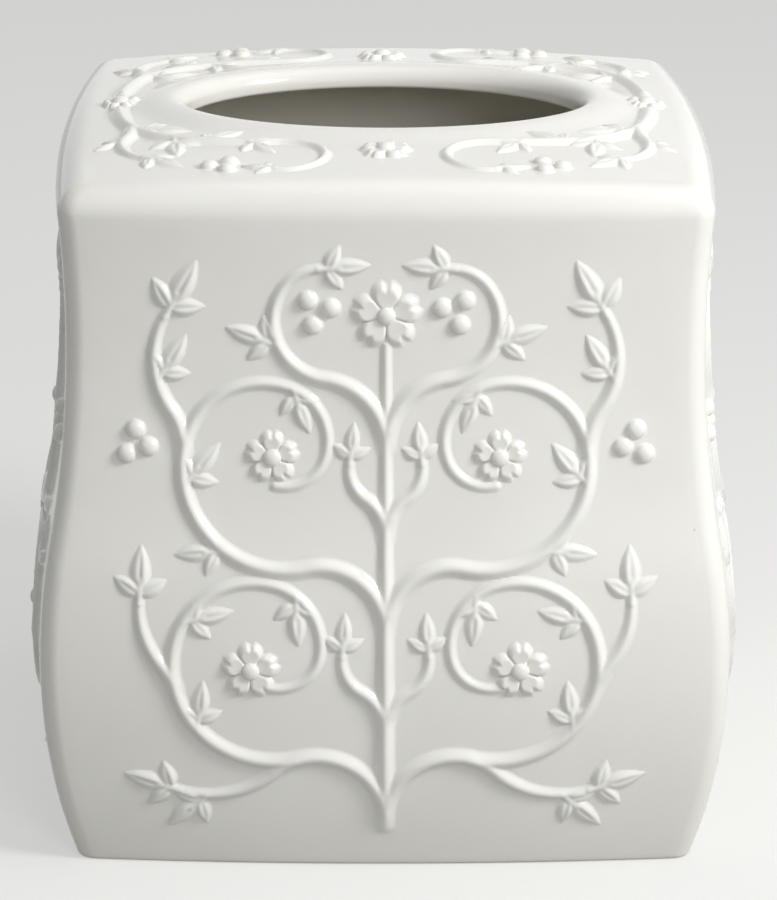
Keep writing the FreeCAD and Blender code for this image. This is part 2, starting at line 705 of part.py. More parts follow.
def on_front(point):
    height = point.y + size("foot_margin")
    return FreeCAD.Vector(point.x, front_depth(point.x, height), height)


front_dots = [(on_front(dot), size("berry_diameter")) for dot in side_layout[3]]
front_dots += [(on_front(eye), size("eye_diameter")) for eye in side_layout[4]]
front["berries"] = domes("front_berries", front_dots, -inward)

# The other three sides carry the same ornament, a quarter turn on each time

nodes = [cover_shell] + list(front.values())
for turn, side in enumerate(("right", "back", "left"), start=1):
    for kind, original in front.items():
        piece = doc.addObject("Part::Feature", f"{side}_{kind}")
        piece.Shape = original.Shape
        piece.Placement = FreeCAD.Placement(
            FreeCAD.Vector(0, 0, 0),
            FreeCAD.Rotation(FreeCAD.Vector(0, 0, 1), 90 * turn),
        )
        nodes.append(piece)

# Ornament round the opening

top_edge_half = side_half(side_top) - bow_sag - size("edge_radius") - size("rim_margin")
top_scale = top_edge_half / top_garland["half"]
top_layout = layout(top_garland, top_scale, [left_right, front_back])
top_place = FreeCAD.Placement(FreeCAD.Vector(0, 0, size("crown_height") - stock), FreeCAD.Rotation())
upward = FreeCAD.Vector(0, 0, 1)
lip_reach = size("lip_radius") + size("lip_flat") + lip_room
lip_area = Part.Face(Part.Wire(Part.Ellipse(
    FreeCAD.Vector(size("lip_half_length") + lip_reach, 0, 0),
    FreeCAD.Vector(0, size("lip_half_width") + lip_reach, 0),
    FreeCAD.Vector(0, 0, 0),
).toShape()))
top_layers = (top_stem_layer, top_leaf_layer, top_blossom_layer)
for kind, outline, layer in zip(flat_kinds, top_layout, top_layers):
    nodes.append(raised(f"top_{kind}", outline.cut(lip_area), top_place, upward, 2 * stock, layer))
top_dots = [(dot, size("berry_diameter")) for dot in top_layout[3]]
top_dots += [(eye, size("eye_diameter")) for eye in top_layout[4]]
top_dots = [(FreeCAD.Vector(dot.x, dot.y, top_height(dot.x, dot.y)), diameter) for dot, diameter in top_dots]
nodes.append(domes("top_berries", top_dots, upward))

# Every piece is checked, then written to its own file

doc.recompute()
faulty = [item.Name for item in doc.Objects if "Invalid" in item.State or "Error" in item.State]
for node in nodes:
    if node.Shape.isNull() or not node.Shape.isValid() or not node.Shape.Solids:
        faulty.append(node.Name)
if faulty:
    raise RuntimeError(f"pieces that did not build: {faulty}")
for node in nodes:
    node.Label = node.Name
    node.Shape.exportStep(f"parts/{node.Label}.step")
    print(node.Label, len(node.Shape.Solids), "solids,", round(node.Shape.Volume), "cubic mm")
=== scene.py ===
import math

import bpy
import numpy as np
from mathutils import Matrix, Vector


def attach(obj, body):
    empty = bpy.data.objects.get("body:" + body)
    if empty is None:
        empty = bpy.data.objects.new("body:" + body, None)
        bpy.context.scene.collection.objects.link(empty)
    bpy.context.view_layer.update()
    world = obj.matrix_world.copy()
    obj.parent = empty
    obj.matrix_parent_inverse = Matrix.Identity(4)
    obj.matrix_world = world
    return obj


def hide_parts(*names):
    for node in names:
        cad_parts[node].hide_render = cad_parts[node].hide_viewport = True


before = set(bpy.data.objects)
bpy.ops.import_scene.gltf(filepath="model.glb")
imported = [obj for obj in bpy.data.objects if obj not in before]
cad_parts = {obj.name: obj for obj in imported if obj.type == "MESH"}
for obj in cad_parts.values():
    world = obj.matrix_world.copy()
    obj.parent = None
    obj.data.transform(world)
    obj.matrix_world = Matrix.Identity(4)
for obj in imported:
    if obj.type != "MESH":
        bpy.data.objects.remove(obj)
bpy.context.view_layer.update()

mm = 0.001  # lengths below are in millimetres and turn to metres on the way into a mesh
mergeGap = 0.01  # points nearer than this become one
smoothAngle = math.radians(50)  # faces that meet at less than this are shaded smooth
pieces = []


# Small helpers

def deselectAll():
    if bpy.context.object and bpy.context.object.mode != "OBJECT":
        bpy.ops.object.mode_set(mode="OBJECT")
    bpy.ops.object.select_all(action="DESELECT")


def gridPiece(name, points):  # a grid primitive whose vertices are moved to rows of points
    rows, columns = points.shape[:2]
    deselectAll()
    bpy.ops.mesh.primitive_grid_add(x_subdivisions=columns - 1, y_subdivisions=rows - 1, size=1)
    piece = bpy.context.object
    piece.name = name
    piece.data.name = name
    piece.data.vertices.foreach_set("co", (points * mm).ravel())
    piece.data.update()
    return piece


def closeSkin():  # the active piece: seams and poles merged, faces outward
    bpy.ops.object.mode_set(mode="EDIT")
    bpy.ops.mesh.select_all(action="SELECT")
    bpy.ops.mesh.remove_doubles(threshold=mergeGap * mm)
    bpy.ops.mesh.normals_make_consistent(inside=False)
    bpy.ops.object.mode_set(mode="OBJECT")
    bpy.ops.object.shade_smooth_by_angle(angle=smoothAngle)


def joinPieces(name, parts):
    deselectAll()
    for part in parts:
        part.select_set(True)
    bpy.context.view_layer.objects.active = parts[0]
    bpy.ops.object.join()
    parts[0].name = name
    parts[0].data.name = name
    return parts[0]


def settle(piece, node):
    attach(piece, "root")
    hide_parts(node)
    pieces.append(piece)


# Shape of the shell: one closed skin, from the foot up the outside, over the lip and down the inside

shell = {
    "bellyHalf": 73.0,    # half the width where the sides are fullest
    "bellyHeight": 43.0,
    "bellyRadius": 132.0,
    "waistRise": 69.0,    # from the belly up to the waist
    "waistDraw": 6.6,     # how far the waist is drawn in
    "bowRadius": 650.0,   # bow of a side as seen from above
    "crownHeight": 146.6,
    "crownRadius": 720.0,
    "cornerRadius": 4.5,
    "edgeRadius": 7.5,    # round between a side and the top
    "footRadius": 1.2,
    "insideRadius": 3.0,
    "wall": 4.0,
    "lipHalfLength": 41.5,
    "lipHalfWidth": 28.0,
    "lipHeight": 146.7,   # the lip is level, unlike the crowned top
    "lipRadius": 3.4,     # roll of the lip into the opening
    "lipBlend": 10.0,     # width over which the top swells up to the lip
    "underRadius": 0.8,   # small round under the lip
    "acrossSteps": 48,    # faces across one side
    "cornerSteps": 10,    # faces round one corner
    "footRows": 6,        # rows of points on each stretch of the skin
    "sideRows": 62,
    "edgeRows": 13,
    "topRows": 26,
    "topCrowding": 1.3,   # above 1, the rows of the top lie closer towards the lip
    "lipRows": 15,
    "underRows": 7,
    "ceilingRows": 9,
    "wallRows": 30,
    "toneRows": 16,       # rows, centred on the lip's inner edge, over which the painted warm inside tone comes in
    "cornerPinch": 0.35,  # how fast a corner's round tightens over the top edge
}
waistHalf = shell["bellyHalf"] - shell["waistDraw"]
waistHeight = shell["bellyHeight"] + shell["waistRise"]
arcSpan = (shell["waistRise"] ** 2 + shell["waistDraw"] ** 2) / (2 * shell["waistDraw"])
waistRadius = arcSpan - shell["bellyRadius"]
bowCentre = shell["bowRadius"] - shell["bellyHalf"]
crownCentre = shell["crownHeight"] - shell["crownRadius"]


def sideHalf(height, grow=0.0):  # how far the middle of a side stands from the Z axis
    height = np.asarray(height, dtype=float)
    joint = shell["bellyHeight"] + shell["waistRise"] * (shell["bellyRadius"] + grow) / arcSpan
    belly = np.minimum(height, joint) - shell["bellyHeight"]
    waist = np.maximum(height, joint) - waistHeight
    low = shell["bellyHalf"] - shell["bellyRadius"] + np.sqrt((shell["bellyRadius"] + grow) ** 2 - belly ** 2)
    high = waistHalf + waistRadius - np.sqrt((waistRadius - grow) ** 2 - waist ** 2)
    return np.where(height <= joint, low, high)


def sideLean(height, step=0.05):  # slope of the side, outward for each millimetre up
    return (sideHalf(height + step) - sideHalf(height - step)) / (2 * step)


def crownTop(x, y, grow=0.0):
    return crownCentre + np.sqrt((shell["crownRadius"] + grow) ** 2 - x ** 2 - y ** 2)


def topHeight(x, y):  # the crowned top, swelling up to the level lip round the opening
    long, short = (shell[key] + shell["lipRadius"] for key in ("lipHalfLength", "lipHalfWidth"))
    ratio = np.maximum(np.hypot(x / long, y / short), 1)
    share = np.clip(np.hypot(x, y) * (1 - 1 / ratio) / shell["lipBlend"], 0, 1)
    swell = 1 - share ** 2 * (3 - 2 * share)
    return crownTop(x, y) + (shell["lipHeight"] - crownTop(x, y)) * swell


def bowedSquare(half, corner):  # one level of the form: four bowed sides and round corners, anticlockwise
    reach = bowCentre + half
    # middle: how far the centre of a corner's round lies from both axes
    middle = (math.sqrt(2 * (reach - corner) ** 2 - bowCentre ** 2) - bowCentre) / 2
    swing = math.atan2(middle, middle + bowCentre)
    across = np.linspace(-swing, swing, shell["acrossSteps"] + 1)
    side = np.stack([reach * np.sin(across), bowCentre - reach * np.cos(across)], axis=1)
    turn = np.linspace(swing - math.pi / 2, -swing, shell["cornerSteps"] + 1)[1:-1]
    bend = np.stack([middle + corner * np.cos(turn), -middle + corner * np.sin(turn)], axis=1)
    quarter = np.concatenate([side, bend])
    ring = []
    for k in range(4):
        c, s = math.cos(k * math.pi / 2), math.sin(k * math.pi / 2)
        ring.append(quarter @ np.array([[c, s], [-s, c]]))
    ring = np.concatenate(ring)
    return np.concatenate([ring, ring[:1]])  # the last point closes the ring


def atHeight(flat, height):
    return np.column_stack([flat, np.broadcast_to(height, len(flat))])


def edgeRound(grow, radius):  # centre of the round between a side and the top, and the angles it runs between
    level = shell["crownHeight"] + grow - radius
    for _ in range(20):  # settles well before the last round
        out = float(sideHalf(level, grow - radius))
        level = crownCentre + math.sqrt((shell["crownRadius"] + grow - radius) ** 2 - out ** 2)
    start = math.atan2(waistHeight - level, waistHalf + waistRadius - out)
    end = math.atan2(level - crownCentre, out)
    return out, level, start, end


def oval(angle, aside):  # the lip's oval, moved outward by aside
    a, b = shell["lipHalfLength"], shell["lipHalfWidth"]
    steep = np.hypot(b * np.cos(angle), a * np.sin(angle))
    x = a * np.cos(angle) + aside * b * np.cos(angle) / steep
    y = b * np.sin(angle) + aside * a * np.sin(angle) / steep
    return np.column_stack([x, y])


def overEdge(rings, grow, radius, corner, upward):  # rings of the round between a side and the top
    out, level, start, end = edgeRound(grow, radius)
    angles = np.linspace(start, end, shell["edgeRows"])
    for angle in angles if upward else angles[::-1]:
        half = out + radius * math.cos(angle)
        flat = bowedSquare(half, corner(out + radius - half))
        sink = (crownTop(0, half) - crownTop(flat[:, 0], flat[:, 1])) * (angle - start) / (end - start)
        rings.append(atHeight(flat, level + radius * math.sin(angle) - sink))


def shellRings():
    rings = []
    corner, foot = shell["cornerRadius"], shell["footRadius"]
    inside, wall = shell["insideRadius"], shell["wall"]

    # round under edge of the foot
    footHalf = float(sideHalf(foot, -foot))
    lean = math.atan(float(sideLean(foot)))
    for angle in np.linspace(-math.pi / 2, -lean, shell["footRows"]):
        flat = bowedSquare(footHalf + foot * math.cos(angle), corner - foot * (1 - math.cos(angle)))
        rings.append(atHeight(flat, foot + foot * math.sin(angle)))

    # S-curved side, then the round over to the top
    out, level, start, end = edgeRound(0.0, shell["edgeRadius"])
    sideTop = level + shell["edgeRadius"] * math.sin(start)
    for height in np.linspace(1.5 * foot, sideTop, shell["sideRows"])[:-1]:
        rings.append(atHeight(bowedSquare(float(sideHalf(height)), corner), height))
    overEdge(rings, 0.0, shell["edgeRadius"], lambda inset: corner - shell["cornerPinch"] * inset, True)

    # crowned top, from the square to the lip's oval
    square = rings[-1][:, :2]
    polar = np.arctan2(square[:, 1], square[:, 0])
    roll, under = shell["lipRadius"], shell["underRadius"]
    edge = oval(polar, roll)
    for share in 1 - np.linspace(1, 0, shell["topRows"])[1:] ** shell["topCrowding"]:
        flat = square + (edge - square) * share
        rings.append(atHeight(flat, topHeight(flat[:, 0], flat[:, 1])))

    # roll of the lip into the opening, and the small round under it
    for angle in np.radians(np.linspace(0, 90, shell["lipRows"])[1:]):
        level = shell["lipHeight"] - roll * (1 - math.cos(angle))
        rings.append(atHeight(oval(polar, roll - roll * math.sin(angle)), level))
    inner = len(rings)
    ceiling = crownTop(*oval(polar, under).T, -wall)
    for angle in np.radians(np.linspace(0, 90, shell["underRows"])):
        level = ceiling + under * (1 - math.sin(angle))
        rings.append(atHeight(oval(polar, under - under * math.cos(angle)), level))

    # ceiling, inside corner and inside wall, down to the foot
    out, level, start, end = edgeRound(-wall, inside)
    square = bowedSquare(out + inside * math.cos(end), inside)
    edge = rings[-1][:, :2]
    for share in np.linspace(0, 1, shell["ceilingRows"])[1:-1]:
        flat = edge + (square - edge) * share
        rings.append(atHeight(flat, crownTop(flat[:, 0], flat[:, 1], -wall)))
    overEdge(rings, -wall, inside, lambda inset: inside, False)
    for height in np.linspace(level + inside * math.sin(start), 0, shell["wallRows"])[1:]:
        rings.append(atHeight(bowedSquare(float(sideHalf(height, -wall)), inside), height))
    rings.append(rings[0])  # flat rim of the foot, back to the first ring
    return np.stack(rings), inner


skinRings, innerRow = shellRings()
coverShell = gridPiece("coverShell", skinRings)
# share of the painted warm tone of bounced light inside, for each row of the skin
insideShare = np.clip((np.arange(len(skinRings)) - innerRow) / shell["toneRows"] + 0.5, 0, 1)
insideMark = coverShell.data.attributes.new("inside", "FLOAT", "POINT")
insideMark.data.foreach_set("value", np.repeat(insideShare, skinRings.shape[1]))
closeSkin()
settle(coverShell, "cover_shell")
print("shell:", len(coverShell.data.vertices), "vertices")


# Raised foliage: stems, three-lobed leaves, blossoms and berries, drawn flat and laid on the shell

foliage = {
    "stemHeight": 1.5,
    "stemReach": 2.4,     # from a stem's middle line to the foot of its flank
    "tipHeight": 0.7,
    "tipReach": 1.3,
    "sprout": 7.0,        # run over which a shoot rises out of its stem
    "sproutStart": 0.45,  # share of the height that it starts with
    "stemFall": 1.5,      # above 1, a stem keeps its height for longer
    "pathStep": 0.25,     # between two points of a stem's middle line
    "leafHeight": 1.2,
    "leafLength": 15.0,
    "leafLobes": [        # turn in degrees, then start, run and half width as shares of the leaf's length
        (0, 0.25, 0.75, 0.185),
        (58, 0.16, 0.52, 0.16),
        (-58, 0.16, 0.52, 0.16),
    ],
    "creaseWidth": 0.55,  # fold along the middle of a lobe
    "creaseDepth": 0.42,  # share of the leaf's height
    "foldHeight": 0.16,   # how much higher one half of a lobe is, and lower the other
    "foldWidth": 0.6,
    "lobeSkew": 0.72,     # below 1, a lobe is widest nearer to its start
    "lobeTaper": 0.85,
    "lobeRidge": 0.55,    # below 1, the ridge stays high towards the tip
    "lobeRound": 1.4,     # roundness of a lobe's section
    "stalkLength": 0.4,   # share of the leaf's length
    "stalkHeight": 0.7,   # share of the leaf's height
    "berryDiameter": 4.0,
    "eyeDiameter": 4.0,
    "eyeSeat": 0.5,       # how high in a blossom its eye sits
    "meshStep": 0.31,
    "leastLift": 0.004,   # faces below this are left off
    "footing": 0.8,       # how deep a piece is bedded in the shell
    "sideMargin": 2.1,
    "footMargin": 8.0,
    "headMargin": 2.0,
    "rimMargin": 0.3,
}

# a stem: where it starts, its heading in degrees, and its arcs as radius and turn; radius 0 is a straight run
# a shoot: the stem that it leaves, how far along it, and its arcs
# a leaf: its stem, how far along it (None: at the end), side, tilt in degrees, share of the full size
sideScroll = {
    "half": 54.5,
    "height": 126.0,
    "stems": {
        "middle": ((0, 2), 90, [(0, 101)]),
        "low": ((0, 4), 90, [(14, -104), (20.5, 116), (16.5, 90), (12.5, 90), (8.5, 100)]),
        "high": ((0, 45), 90, [(13, -102), (20.5, 118), (16, 90), (11.5, 90), (8.5, 86)]),
        "crown": ((0, 82), 90, [(14, -82), (12, 118), (9, 50)]),
    },
    "shoots": {
        "lowShoot": ("low", 22, [(12, -44), (19, 62)]),
        "sideShoot": ("low", 57, [(16, -24), (18, 42)]),
        "highShoot": ("high", 62, [(13, -42), (18, 64)]),
        "innerLow": ("middle", 22, [(9.5, -60), (8, 64)]),
        "innerHigh": ("middle", 62, [(9, -56), (7.5, 62)]),
    },
    "leaves": [
        ("low", 48, 1, 48, 0.7),
        ("low", 72, 1, 46, 0.7),
        ("low", 98, 1, 50, 0.7),
        ("high", 40, -1, 40, 0.7),
        ("high", 56, 1, 50, 0.75),
        ("high", 92, 1, 46, 0.65),
        ("lowShoot", None, 0, 0, 0.8),
        ("lowShoot", 24, -1, 44, 0.75),
        ("sideShoot", None, 0, 0, 0.8),
        ("highShoot", None, 0, 0, 0.9),
        ("highShoot", 16, 1, 46, 0.75),
        ("crown", None, 0, 0, 0.7),
        ("crown", 32, -1, 46, 0.75),
        ("innerLow", None, 0, 0, 0.62),
        ("innerHigh", None, 0, 0, 0.58),
    ],
    "blossoms": [((27, 36.8), 0.92), ((22.6, 80), 0.85), ((0, 109), 1.1)],
    "berries": [(11, 110.5), (14.5, 107), (15.5, 112), (49.7, 85.2), (51.5, 80.3), (47.2, 81.8)],
}
topGarland = {
    "half": 57.3,
    "stems": {
        "garland": ((56, 4), 90, [(60, 16), (24, 60), (60, 14), (9.7, -150), (6, -50)]),
    },
    "shoots": {
        "corner": ("garland", 18, [(16, -38), (13, 70)]),
    },
    "leaves": [
        ("garland", 22, 1, 50, 0.8),
        ("garland", 34, -1, 52, 0.8),
        ("garland", 40, 1, 50, 0.7),
        ("garland", 50, -1, 46, 0.65),
        ("garland", None, 0, 0, 0.5),
        ("corner", None, 0, 0, 0.7),
        ("corner", 12, -1, 40, 0.5),
    ],
    "blossoms": [((56, 0), 0.66), ((0, 46), 0.85)],
    "berries": [(31.5, 52), (35.5, 54.2), (31.8, 56.6)],
}


def walkRuns(x, y, angle, turns, scale):  # close points and their headings along arcs
    parts = []
    for radius, turn in turns:
        reach = radius * scale
        sign = math.copysign(1, turn)
        run = turn * scale if radius == 0 else abs(math.radians(turn)) * reach
        far = np.linspace(0, run, max(2, int(run / foliage["pathStep"])))
        if radius == 0:
            track = [x + far * math.cos(angle), y + far * math.sin(angle), np.full(len(far), angle)]
        else:
            heads = angle + sign * far / reach
            midX, midY = x - sign * reach * math.sin(angle), y + sign * reach * math.cos(angle)
            track = [midX + sign * reach * np.sin(heads), midY - sign * reach * np.cos(heads), heads]
        parts.append(np.column_stack(track))
        x, y, angle = parts[-1][-1]
    return np.concatenate(parts)


def lengthAlong(path):
    return np.concatenate([[0], np.cumsum(np.hypot(*np.diff(path[:, :2], axis=0).T))])


def spotAlong(path, distance):  # point and heading at a distance
    return path[int(np.searchsorted(lengthAlong(path), distance))]


def walkStems(drawing, scale):
    paths = {}
    for name, ((x, y), heading, turns) in drawing["stems"].items():
        paths[name] = walkRuns(x * scale, y * scale, math.radians(heading), turns, scale)
    for name, (parent, distance, turns) in drawing["shoots"].items():
        paths[name] = walkRuns(*spotAlong(paths[parent], distance * scale), turns, scale)
    return paths


def near(x, y, low, high, reach):  # which points lie within reach of a box
    inX = (x > low[0] - reach) & (x < high[0] + reach)
    return np.nonzero(inX & (y > low[1] - reach) & (y < high[1] + reach))[0]


def bump(ratio):  # soft rounded section: level at the crest and at the foot
    return np.clip(1 - ratio ** 2, 0, None) ** 2


def blend(first, second):  # two heights that melt into each other where both stand
    return (first ** 4 + second ** 4) ** 0.25


def stemHeights(x, y, paths):  # rounded stems that thin towards their tips
    height = np.zeros(len(x))
    for path in paths.values():
        share = np.linspace(0, 1, len(path))
        reach = foliage["stemReach"] + (foliage["tipReach"] - foliage["stemReach"]) * share
        drop = (foliage["tipHeight"] - foliage["stemHeight"]) * share ** foliage["stemFall"]
        rise = np.clip(foliage["sproutStart"] + lengthAlong(path) / foliage["sprout"], 0, 1)
        tall = (foliage["stemHeight"] + drop) * rise
        spots = near(x, y, path[:, :2].min(0), path[:, :2].max(0), foliage["stemReach"])
        for block in np.array_split(spots, max(1, len(spots) // 4000)):  # in blocks, to spare memory
            gap = np.hypot(x[block, None] - path[None, :, 0], y[block, None] - path[None, :, 1])
            height[block] = blend(height[block], (tall * bump(gap / reach)).max(1))
    return height


def lobeHeights(along, aside, length, half):  # pointed lobe, folded along its middle
    share = np.clip(along / length, 0.0001, 0.9999)
    wide = half * np.sin(math.pi * share ** foliage["lobeSkew"]) ** foliage["lobeTaper"]
    ridge = (wide / half) ** foliage["lobeRidge"]
    swell = np.clip(1 - (aside / wide) ** 2, 0, None) ** foliage["lobeRound"]
    crease = 1 - foliage["creaseDepth"] * np.exp(-(aside / foliage["creaseWidth"]) ** 2)
    fold = 1 + foliage["foldHeight"] * np.tanh(aside / foliage["foldWidth"])
    return np.where((along > 0) & (along < length), ridge * swell * crease * fold, 0)


def leafHeights(x, y, leaves, paths, scale):
    height = np.zeros(len(x))
    for name, distance, hand, tilt, share in leaves:
        px, py, heading = paths[name][-1] if distance is None else spotAlong(paths[name], distance * scale)
        heading += hand * math.radians(tilt)
        length = share * foliage["leafLength"]
        spots = near(x, y, (px, py), (px, py), 1.1 * length)  # a little past the tip
        ahead = (x[spots] - px) * math.cos(heading) + (y[spots] - py) * math.sin(heading)
        aside = (y[spots] - py) * math.cos(heading) - (x[spots] - px) * math.sin(heading)
        stalk = np.hypot(ahead - np.clip(ahead, 0, foliage["stalkLength"] * length), aside)
        leaf = foliage["stalkHeight"] * bump(stalk / foliage["tipReach"])
        for turn, start, run, half in foliage["leafLobes"]:
            c, s = math.cos(math.radians(turn)), math.sin(math.radians(turn))
            fore = ahead - start * length
            along, across = fore * c + aside * s, aside * c - fore * s
            leaf = blend(leaf, lobeHeights(along, across, run * length, half * length))
        height[spots] = blend(height[spots], foliage["leafHeight"] * leaf)
    return height


def faceCorners(mesh, values):  # a grid value at each corner of each face
    corners = np.empty(len(mesh.loops), dtype=np.int32)
    mesh.loops.foreach_get("vertex_index", corners)
    return values.ravel()[corners.reshape(-1, 4)]


def reliefPiece(name, points, lift, lead):  # closed piece of a raised skin, where lead is above zero
    piece = gridPiece(name, points)
    mesh = piece.data
    raised = faceCorners(mesh, lift).max(1) > foliage["leastLift"]
    kept = raised & (faceCorners(mesh, lead).mean(1) > 0)
    for parts in (mesh.vertices, mesh.edges):
        parts.foreach_set("select", np.zeros(len(parts), dtype=bool))
    mesh.polygons.foreach_set("select", ~kept)
    bpy.context.tool_settings.mesh_select_mode = (False, False, True)
    bpy.ops.object.mode_set(mode="EDIT")
    bpy.ops.mesh.delete(type="FACE")
    bpy.ops.mesh.select_all(action="SELECT")
    bpy.ops.mesh.delete_loose()
    bpy.ops.object.mode_set(mode="OBJECT")
    bpy.ops.object.modifier_add(type="SOLIDIFY")
    piece.modifiers[-1].thickness = foliage["footing"] * mm
    piece.modifiers[-1].offset = -1
    bpy.ops.object.modifier_apply(modifier=piece.modifiers[-1].name)
    bpy.ops.object.shade_smooth_by_angle(angle=smoothAngle)
    return piece


blossom = {
    "diameter": 14.0,
    "height": 1.3,
    "petals": 5,
    "spokes": 100,     # points round the rim
    "rings": 22,
    "cleft": 0.66,     # share of the radius at the cleft between two petals
    "fullness": 0.55,  # below 1, a petal's rim is squarer
    "notch": 0.1,      # nick in the rim of a petal
    "notchWidth": 0.03,
    "edge": 0.32,      # share of the radius over which a petal rises from its rim
    "cup": 0.62,       # height left in the middle
    "cupReach": 0.75,  # share of the radius at which a petal is highest
    "groove": 0.5,     # depth of the line between two petals
    "grooveWidth": 0.5,
}


def blossomPiece(spot, share, groundAt):  # rows of points from the middle out to the rim, and back underneath
    radius = share * blossom["diameter"] / 2
    turn = np.linspace(0, 2 * math.pi, blossom["spokes"] + 1)
    petal = np.abs(np.cos(blossom["petals"] / 2 * turn))
    nick = 1 - blossom["notch"] * np.exp(-((1 - petal) / blossom["notchWidth"]) ** 2)
    rim = (blossom["cleft"] + (1 - blossom["cleft"]) * petal ** blossom["fullness"]) * nick
    out = np.linspace(0, 1, blossom["rings"])[:, None] * rim
    edge = np.clip((rim - out) / blossom["edge"], 0, 1)
    rise = edge ** 2 * (3 - 2 * edge)
    cup = blossom["cup"] + (1 - blossom["cup"]) * np.clip(out / blossom["cupReach"], 0, 1) ** 2
    groove = 1 - blossom["groove"] * np.exp(-(petal * out * radius / blossom["grooveWidth"]) ** 2)
    height = blossom["height"] * rise * cup * groove
    sunk = np.full((1, len(turn)), -foliage["footing"])
    height = np.concatenate([height, sunk, sunk])
    out = np.concatenate([out, out[-1:], out[:1]])
    ground, normal = groundAt(spot[0] + out * radius * np.sin(turn), spot[1] + out * radius * np.cos(turn))
    piece = gridPiece("blossom", ground + normal * height[..., None])
    closeSkin()
    return piece


bead = {  # shares of its diameter
    "ballReach": 0.46,
    "ballRise": 0.31,
    "ballSeat": 0.06,  # height of the ball's middle
    "ballSweep": 80,   # degrees from the top to where the skirt of glaze starts
    "ballRows": 12,
    "skirtStart": 0.453,
    "skirtHeight": 0.114,
    "skirtReach": 0.17,
    "skirtCurve": 1.6,
    "skirtRows": 6,
    "rootReach": 0.6,  # what is bedded in the shell
    "rootDepth": 0.2,
    "spokes": 32,
}


def beadShape():  # a bead one millimetre across: a flattened ball that runs out into a thin skirt of glaze
    cap = np.radians(np.linspace(0, bead["ballSweep"], bead["ballRows"]))
    skirt = np.linspace(0, 1, bead["skirtRows"] + 1)[1:]
    hem = bead["skirtStart"] + bead["skirtReach"] * skirt ** bead["skirtCurve"]
    out = np.concatenate([bead["ballReach"] * np.sin(cap), hem, [bead["rootReach"], 0]])
    ball = bead["ballSeat"] + bead["ballRise"] * np.cos(cap)
    rise = np.concatenate([ball, bead["skirtHeight"] * (1 - skirt) ** 2, np.full(2, -bead["rootDepth"])])
    turn = np.linspace(0, 2 * math.pi, bead["spokes"] + 1)
    out, rise = np.broadcast_arrays(out[:, None], rise[:, None], turn)[:2]
    shape = gridPiece("bead", np.stack([out * np.cos(turn), out * np.sin(turn), rise], axis=-1))
    closeSkin()
    return shape


def beadCopies(name, spots):  # copies of the bead at places on the shell, each turned to the outward normal
    shape = beadShape()
    copies = []
    for place, normal, size in spots:
        copy = bpy.data.objects.new(name, shape.data.copy())
        turn = Vector(normal).to_track_quat("Z", "Y").to_matrix().to_4x4()
        copy.data.transform(Matrix.Translation(Vector(place) * mm) @ turn @ Matrix.Scale(size, 4))
        bpy.context.collection.objects.link(copy)
        copies.append(copy)
    bpy.data.objects.remove(shape)
    return joinPieces(name, copies)


def mirrorSpots(spots, bothWays, apart=0.01):  # places with their mirror images, each once
    flips = [(1, 1), (-1, 1)] + ([(1, -1), (-1, -1)] if bothWays else [])
    found = []
    for spot, share in spots:
        for fx, fy in flips:
            image = (spot[0] * fx, spot[1] * fy)
            if all(math.dist(image, other) > apart for other, _ in found):
                found.append((image, share))
    return found


def foliagePieces(side, drawing, gridX, gridY, scale, bothWays, groundAt):  # four kinds of ornament on a side
    paths = walkStems(drawing, scale)
    foldX = np.abs(gridX).ravel()
    foldY = (np.abs(gridY) if bothWays else gridY).ravel()
    stems = stemHeights(foldX, foldY, paths).reshape(gridX.shape)
    leaves = leafHeights(foldX, foldY, drawing["leaves"], paths, scale).reshape(gridX.shape)
    lift = blend(stems, leaves)
    ground, normal = groundAt(gridX, gridY)
    skin = ground + normal * lift[..., None]
    made = {
        "stems": reliefPiece(f"{side}Stems", skin, lift, stems - leaves),
        "leaves": reliefPiece(f"{side}Leaves", skin, lift, leaves - stems),
    }
    places = [((x * scale, y * scale), share) for (x, y), share in drawing["blossoms"]]
    flowers = mirrorSpots(places, bothWays)
    parts = [blossomPiece(spot, share, groundAt) for spot, share in flowers]
    made["blossoms"] = joinPieces(f"{side}Blossoms", parts)
    places = [((x * scale, y * scale), foliage["berryDiameter"]) for x, y in drawing["berries"]]
    dots = mirrorSpots(places, bothWays)
    beads = [(*groundAt(*np.array(spot)), size) for spot, size in dots]
    for spot, share in flowers:
        place, normal = groundAt(*np.array(spot))
        beads.append((place + normal * foliage["eyeSeat"], normal, foliage["eyeDiameter"]))
    made["berries"] = beadCopies(f"{side}Berries", beads)
    return made


def frontGround(x, height):  # points and outward normals of the front side, at heights above the foot margin
    z = height + foliage["footMargin"]
    reach = bowCentre + sideHalf(z)
    y = bowCentre - np.sqrt(reach ** 2 - x ** 2)
    normal = np.stack([x / reach, (y - bowCentre) / reach, -sideLean(z)], axis=-1)
    return np.stack([x, y, z], axis=-1), normal / np.linalg.norm(normal, axis=-1, keepdims=True)


def topGround(x, y, step=0.05):
    z = topHeight(x, y)
    slopeX = (topHeight(x + step, y) - topHeight(x - step, y)) / (2 * step)
    slopeY = (topHeight(x, y + step) - topHeight(x, y - step)) / (2 * step)
    normal = np.stack([-slopeX, -slopeY, np.ones_like(z)], axis=-1)
    return np.stack([x, y, z], axis=-1), normal / np.linalg.norm(normal, axis=-1, keepdims=True)


def latticeAxis(low, high):
    return np.linspace(low, high, int(round((high - low) / foliage["meshStep"])) + 1)


